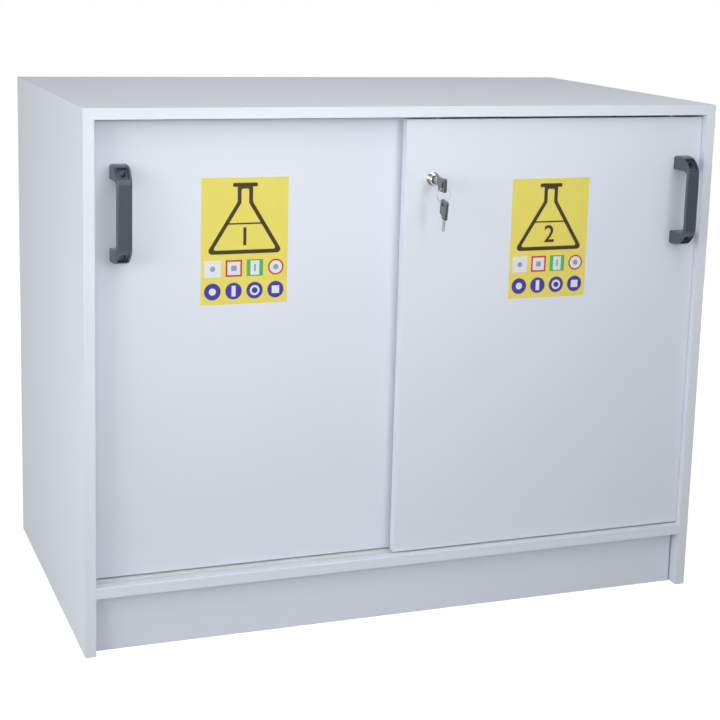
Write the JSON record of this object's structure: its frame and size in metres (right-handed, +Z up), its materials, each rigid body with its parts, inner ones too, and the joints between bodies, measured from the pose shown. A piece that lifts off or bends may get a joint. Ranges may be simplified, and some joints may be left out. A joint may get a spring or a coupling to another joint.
{
  "type": "cabinet",
  "caption": "Low laboratory cabinet with overlapping sliding doors, bridge handles, a push lock with keys, shelves, spill trays and plain numbered labels.",
  "frame": {"origin": "on the floor, under the middle of the overall box, keys and handles included", "axes": "+X to the right of someone facing the doors, +Y to the back, +Z up"},
  "size_m": [1.13, 0.6976, 0.9],
  "materials": {
    "board": "white melamine-faced particle board, fine matte texture",
    "door_board": "white melamine-faced particle board, fine matte texture",
    "edge_band": "white plastic edge band",
    "track_plastic": "white extruded plastic",
    "tray_plastic": "light grey moulded plastic",
    "block_plastic": "white moulded plastic",
    "fitting_zinc": "zinc-plated steel",
    "beech": "plain beech",
    "screw_steel": "dark zinc-plated steel",
    "axle_steel": "bright steel",
    "roller_nylon": "natural nylon",
    "handle_nylon": "dark grey glass-filled nylon, fine matte texture",
    "label_vinyl": "yellow printed vinyl",
    "lock_chrome": "polished chrome",
    "lock_steel": "bright steel",
    "lock_nickel": "nickel-plated brass",
    "key_steel": "nickel-plated steel",
    "key_plastic": "dark moulded plastic"
  },
  "bodies": {
    "carcass": {"left_side_panel": "board", "right_side_panel": "board", "top_panel": "board", "base_panel": "board", "back_panel": "board", "plinth_board": "board", "rear_plinth_board": "board", "centre_partition": "board", "left_shelf": "board", "right_shelf": "board", "carcass_edge_bands": "edge_band", "inner_edge_bands": "edge_band", "bottom_track": "track_plastic", "top_track": "track_plastic", "track_stops": "track_plastic", "track_screws": "screw_steel", "left_base_tray": "tray_plastic", "right_base_tray": "tray_plastic", "left_shelf_tray": "tray_plastic", "right_shelf_tray": "tray_plastic", "plinth_blocks": "block_plastic", "cam_fittings": "fitting_zinc", "shelf_pins": "fitting_zinc", "wood_dowels": "beech"},
    "left_door": {"left_door_panel": "door_board", "left_door_edge_band": "edge_band", "left_handle": "handle_nylon", "left_handle_screws": "screw_steel", "left_roller_housings": "roller_nylon", "left_roller_axles": "axle_steel", "left_top_guides": "roller_nylon", "left_label": "label_vinyl", "strike_plate": "lock_steel", "strike_screws": "screw_steel"},
    "right_door": {"right_door_panel": "door_board", "right_door_edge_band": "edge_band", "right_handle": "handle_nylon", "right_handle_screws": "screw_steel", "right_roller_housings": "roller_nylon", "right_roller_axles": "axle_steel", "right_top_guides": "roller_nylon", "right_label": "label_vinyl", "lock_housing": "lock_chrome", "lock_rear_cap": "lock_chrome", "lock_cap_screws": "screw_steel", "lock_spring": "lock_steel"},
    "left_wheel_1": {"left_door_wheel_1": "roller_nylon"},
    "left_wheel_2": {"left_door_wheel_2": "roller_nylon"},
    "right_wheel_1": {"right_door_wheel_1": "roller_nylon"},
    "right_wheel_2": {"right_door_wheel_2": "roller_nylon"},
    "lock_barrel": {"lock_barrel": "lock_chrome", "lock_bolt": "lock_steel"},
    "lock_plug": {"lock_plug": "lock_nickel"},
    "key": {"key_blade": "key_steel", "key_head": "key_plastic"},
    "key_ring": {"key_ring": "key_steel"},
    "spare_key": {"spare_key_blade": "key_steel", "spare_key_head": "key_plastic"}
  },
  "joints": [
    {"name": "left_door_slide", "type": "slide", "parent": "carcass", "child": "left_door", "axis": [1, 0, 0], "range_m": [0, 0.455]},
    {"name": "right_door_slide", "type": "slide", "parent": "carcass", "child": "right_door", "axis": [1, 0, 0], "range_m": [-0.455, 0]},
    {"name": "left_wheel_1_spin", "type": "hinge", "parent": "left_door", "child": "left_wheel_1", "pos_m": [-0.4864, -0.25008, 0.1243], "axis": [0, 1, 0], "continuous": true},
    {"name": "left_wheel_2_spin", "type": "hinge", "parent": "left_door", "child": "left_wheel_2", "pos_m": [-0.038, -0.25008, 0.1243], "axis": [0, 1, 0], "continuous": true},
    {"name": "right_wheel_1_spin", "type": "hinge", "parent": "right_door", "child": "right_wheel_1", "pos_m": [0.038, -0.27508, 0.1243], "axis": [0, 1, 0], "continuous": true},
    {"name": "right_wheel_2_spin", "type": "hinge", "parent": "right_door", "child": "right_wheel_2", "pos_m": [0.4864, -0.27508, 0.1243], "axis": [0, 1, 0], "continuous": true},
    {"name": "lock_push", "type": "slide", "parent": "right_door", "child": "lock_barrel", "axis": [0, 1, 0], "range_m": [0, 0.009], "stiffness_N_per_m": 300, "deforming": ["lock_spring"]},
    {"name": "key_turn", "type": "hinge", "parent": "lock_barrel", "child": "lock_plug", "pos_m": [0.028, -0.29558, 0.777], "axis": [0, 1, 0], "range_deg": [0, 90]},
    {"name": "key_pull", "type": "slide", "parent": "lock_plug", "child": "key", "axis": [0, -1, 0], "range_m": [0, 0.03]},
    {"name": "key_ring_hang", "type": "hinge", "parent": "key", "child": "key_ring", "pos_m": [0.028, -0.33188, 0.76287], "axis": [0, 1, 0], "range_deg": [-90, 0]},
    {"name": "spare_key_swing", "type": "hinge", "parent": "key_ring", "child": "spare_key", "pos_m": [0.028, -0.33188, 0.74408], "axis": [1, 0, 0], "range_deg": [-60, 28]}
  ],
  "couplings": [
    {"joint": "left_wheel_1_spin", "follows": "left_door_slide", "rad_per_m": 100},
    {"joint": "left_wheel_2_spin", "follows": "left_door_slide", "rad_per_m": 100},
    {"joint": "right_wheel_1_spin", "follows": "right_door_slide", "rad_per_m": 100},
    {"joint": "right_wheel_2_spin", "follows": "right_door_slide", "rad_per_m": 100},
    {"joint": "key_ring_hang", "follows": "key_turn", "ratio": -1}
  ]
}
